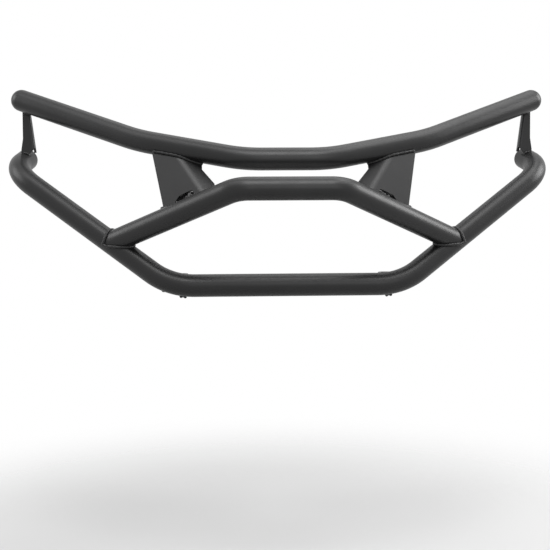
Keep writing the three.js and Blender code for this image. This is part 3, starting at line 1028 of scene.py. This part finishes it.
gusset_t = gusset_fold.flat(gusset_bend_top)[1] / 2
top_outer_s = gusset_fold.flat(gusset_face.at(GUSSET_TOP_OUTER, gusset_top(GUSSET_TOP_OUTER).z))[0]
top_inner_s = gusset_fold.flat(gusset_inner_top)[0]
foot_outer_s = gusset_fold.flat(gusset_outer_foot)[0]
foot_notch_s = foot_outer_s + GUSSET_BOTTOM_OUTER - NOTCH_OUTER
for name, back in (("front", 0.0), ("rear", PLATE)):
    path = seam(gusset_fold, top_outer_s, top_inner_s, gusset_t, gusset_fold.hinge, top_axis, back)
    pair(f"gusset_top_weld_{name}", weld_bead(path, steady(UP)), "coat")
path = seam(gusset_fold, foot_outer_s, foot_notch_s, gusset_t, -gusset_fold.hinge, hoop_axis)
pair("gusset_foot_weld", weld_bead(path, steady(UP)), "coat")

upright_t = upright_fold.flat(upright_inner_top)[1] / 2
for name, back in (("front", 0.0), ("rear", PLATE)):
    path = seam(upright_fold, -UPRIGHT_TOP_WIDTH, UPRIGHT_FLANGE_TOP, upright_t, upright_fold.hinge,
                top_axis, back)
    pair(f"upright_top_weld_{name}", weld_bead(path, steady(UP)), "coat")
    path = seam(upright_fold, -UPRIGHT_BOTTOM_WIDTH, UPRIGHT_FOOT_WIDTH - UPRIGHT_BOTTOM_WIDTH,
                upright_t, -upright_fold.hinge, lower_axis, back)
    pair(f"upright_foot_weld_{name}", weld_bead(path, steady(UP)), "coat")


def tab_seam(mount, side, half, axis, steps=48):
    """The line where one side of a tab meets the tube in front of it."""
    low, high = built_box(f"{mount}_tab_right")
    out = high.x + WELD_CLEAR if side > 0 else low.x - WELD_CLEAR
    middle = axis_point(half, out)
    path = []
    for k in range(steps + 1):
        angle = math.pi * (k / steps - 0.5)
        spoke = Vector((0, math.cos(angle), math.sin(angle)))
        origin = middle + spoke * SEARCH
        place = origin - spoke * axis.reach(origin, -spoke, TUBE_RADIUS + WELD_CLEAR, SEARCH)
        if low.z + WELD_CLEAR < place.z < high.z - WELD_CLEAR:
            path.append(place)
    return path


for mount, half, axis in (("lower", LOWER_HALF, lower_axis), ("upper", HOOP_HALF, hoop_axis)):
    for name, side in (("inner", -1), ("outer", 1)):
        bead = weld_bead(tab_seam(mount, side, half, axis), steady(ACROSS))
        pair(f"{mount}_tab_weld_{name}", bead, "coat")


# ------------------------------------------------------------------------------
# Studio
# ------------------------------------------------------------------------------

FLOOR_LEVEL = -0.55
FLOOR_SHADE = 0.62
FLOOR_SOLID = 0.4  # how far out the floor starts to fade into the background
FLOOR_REACH = 1.3  # how far out it is gone
FLOOR_SIDES = 96


def pale_floor():
    """A plain pale surface that fades out, so that it meets the background."""
    material = bpy.data.materials.new("pale_floor")
    material.use_nodes = True
    nodes, links = material.node_tree.nodes, material.node_tree.links
    shader = nodes["Principled BSDF"]
    shader.inputs["Base Color"].default_value = (FLOOR_SHADE,) * 3 + (1,)
    shader.inputs["Roughness"].default_value = 1.0
    shader.inputs["Specular IOR Level"].default_value = 0
    place = nodes.new("ShaderNodeTexCoord")
    distance = nodes.new("ShaderNodeVectorMath")
    distance.operation = "LENGTH"
    links.new(place.outputs["Object"], distance.inputs[0])
    fade = nodes.new("ShaderNodeMapRange")
    fade.interpolation_type = "SMOOTHERSTEP"
    fade.inputs["From Min"].default_value = FLOOR_SOLID
    fade.inputs["From Max"].default_value = FLOOR_REACH
    fade.inputs["To Min"].default_value = 1
    fade.inputs["To Max"].default_value = 0
    links.new(distance.outputs["Value"], fade.inputs["Value"])
    links.new(fade.outputs["Result"], shader.inputs["Alpha"])
    return material


def stage_floor():
    """The floor, its own origin under the middle of the guard."""
    bm = bmesh.new()
    bmesh.ops.create_circle(bm, cap_ends=True, segments=FLOOR_SIDES, radius=FLOOR_REACH)
    mesh = bpy.data.meshes.new("floor")
    bm.to_mesh(mesh)
    bm.free()
    mesh.materials.append(pale_floor())
    floor = bpy.data.objects.new("floor", mesh)
    floor.location = (0, 0, FLOOR_LEVEL)
    bpy.context.scene.collection.objects.link(floor)


def world_light(strength):
    """Soft light all round, with a white background for the camera and for reflections."""
    world = bpy.data.worlds.new("studio")
    bpy.context.scene.world = world
    world.use_nodes = True
    nodes, links = world.node_tree.nodes, world.node_tree.links
    soft = nodes["Background"]
    soft.inputs["Color"].default_value = (1, 1, 1, 1)
    soft.inputs["Strength"].default_value = strength
    white = nodes.new("ShaderNodeBackground")
    white.inputs["Color"].default_value = (1, 1, 1, 1)
    white.inputs["Strength"].default_value = 1
    path = nodes.new("ShaderNodeLightPath")
    seen = path.outputs["Is Camera Ray"]
    for kind in ("Is Glossy Ray", "Is Transmission Ray"):
        either = nodes.new("ShaderNodeMath")
        either.operation = "MAXIMUM"
        links.new(seen, either.inputs[0])
        links.new(path.outputs[kind], either.inputs[1])
        seen = either.outputs[0]
    mix = nodes.new("ShaderNodeMixShader")
    links.new(seen, mix.inputs["Fac"])
    links.new(soft.outputs[0], mix.inputs[1])
    links.new(white.outputs[0], mix.inputs[2])
    links.new(mix.outputs[0], nodes["World Output"].inputs["Surface"])


LAMP_SIZE = 1.1
LAMP_DISTANCE = 2.2
LAMP_AIM = Vector((0, -0.05, 0.2))


def softbox(name, azimuth, elevation, power):
    """A square lamp aimed at the guard. Azimuth runs from its front towards +X, in degrees."""
    lamp = bpy.data.lights.new(name, "AREA")
    lamp.size = LAMP_SIZE
    lamp.energy = power
    turn, lift = math.radians(azimuth), math.radians(elevation)
    away = Vector((
        math.sin(turn) * math.cos(lift), -math.cos(turn) * math.cos(lift), math.sin(lift),
    ))
    holder = bpy.data.objects.new(name, lamp)
    bpy.context.scene.collection.objects.link(holder)
    holder.location = LAMP_AIM + away * LAMP_DISTANCE
    holder.rotation_mode = "QUATERNION"
    holder.rotation_quaternion = (-away).to_track_quat("-Z", "Y")


stage_floor()
world_light(0.2)
for name, azimuth, elevation, power in (
    ("front_high", 0, 62, 30),
    ("rear_high", 180, 62, 6),
    ("right_high", 75, 60, 14),
    ("right_rear", 125, 62, 9),
    ("right_side", 95, 22, 32),
    ("left_high", -75, 60, 8),
    ("left_side", -95, 22, 15),
    ("front_low", 10, 20, 7),
):
    softbox(name, azimuth, elevation, power)

# The camera stands in front of the guard, a little towards -X, and looks slightly down.
CAMERA_TARGET = at(-29, 0, 33)
CAMERA_DISTANCE = 2.3
CAMERA_YAW = math.radians(3.38)
CAMERA_PITCH = math.radians(6.98)
CAMERA_ROLL = math.radians(0.08)
CAMERA_LENS = 80.77
SENSOR = 36


def stage_camera():
    data = bpy.data.cameras.new("camera")
    data.lens = CAMERA_LENS
    data.sensor_width = SENSOR
    camera = bpy.data.objects.new("camera", data)
    bpy.context.scene.collection.objects.link(camera)
    ahead = Vector((
        math.sin(CAMERA_YAW) * math.cos(CAMERA_PITCH),
        math.cos(CAMERA_YAW) * math.cos(CAMERA_PITCH),
        -math.sin(CAMERA_PITCH),
    ))
    camera.location = CAMERA_TARGET + DATUM - ahead * CAMERA_DISTANCE
    camera.rotation_mode = "QUATERNION"
    level_view = ahead.to_track_quat("-Z", "Y")
    camera.rotation_quaternion = Quaternion(ahead, CAMERA_ROLL) @ level_view
    bpy.context.scene.camera = camera


stage_camera()
bpy.context.scene.view_settings.view_transform = "Standard"
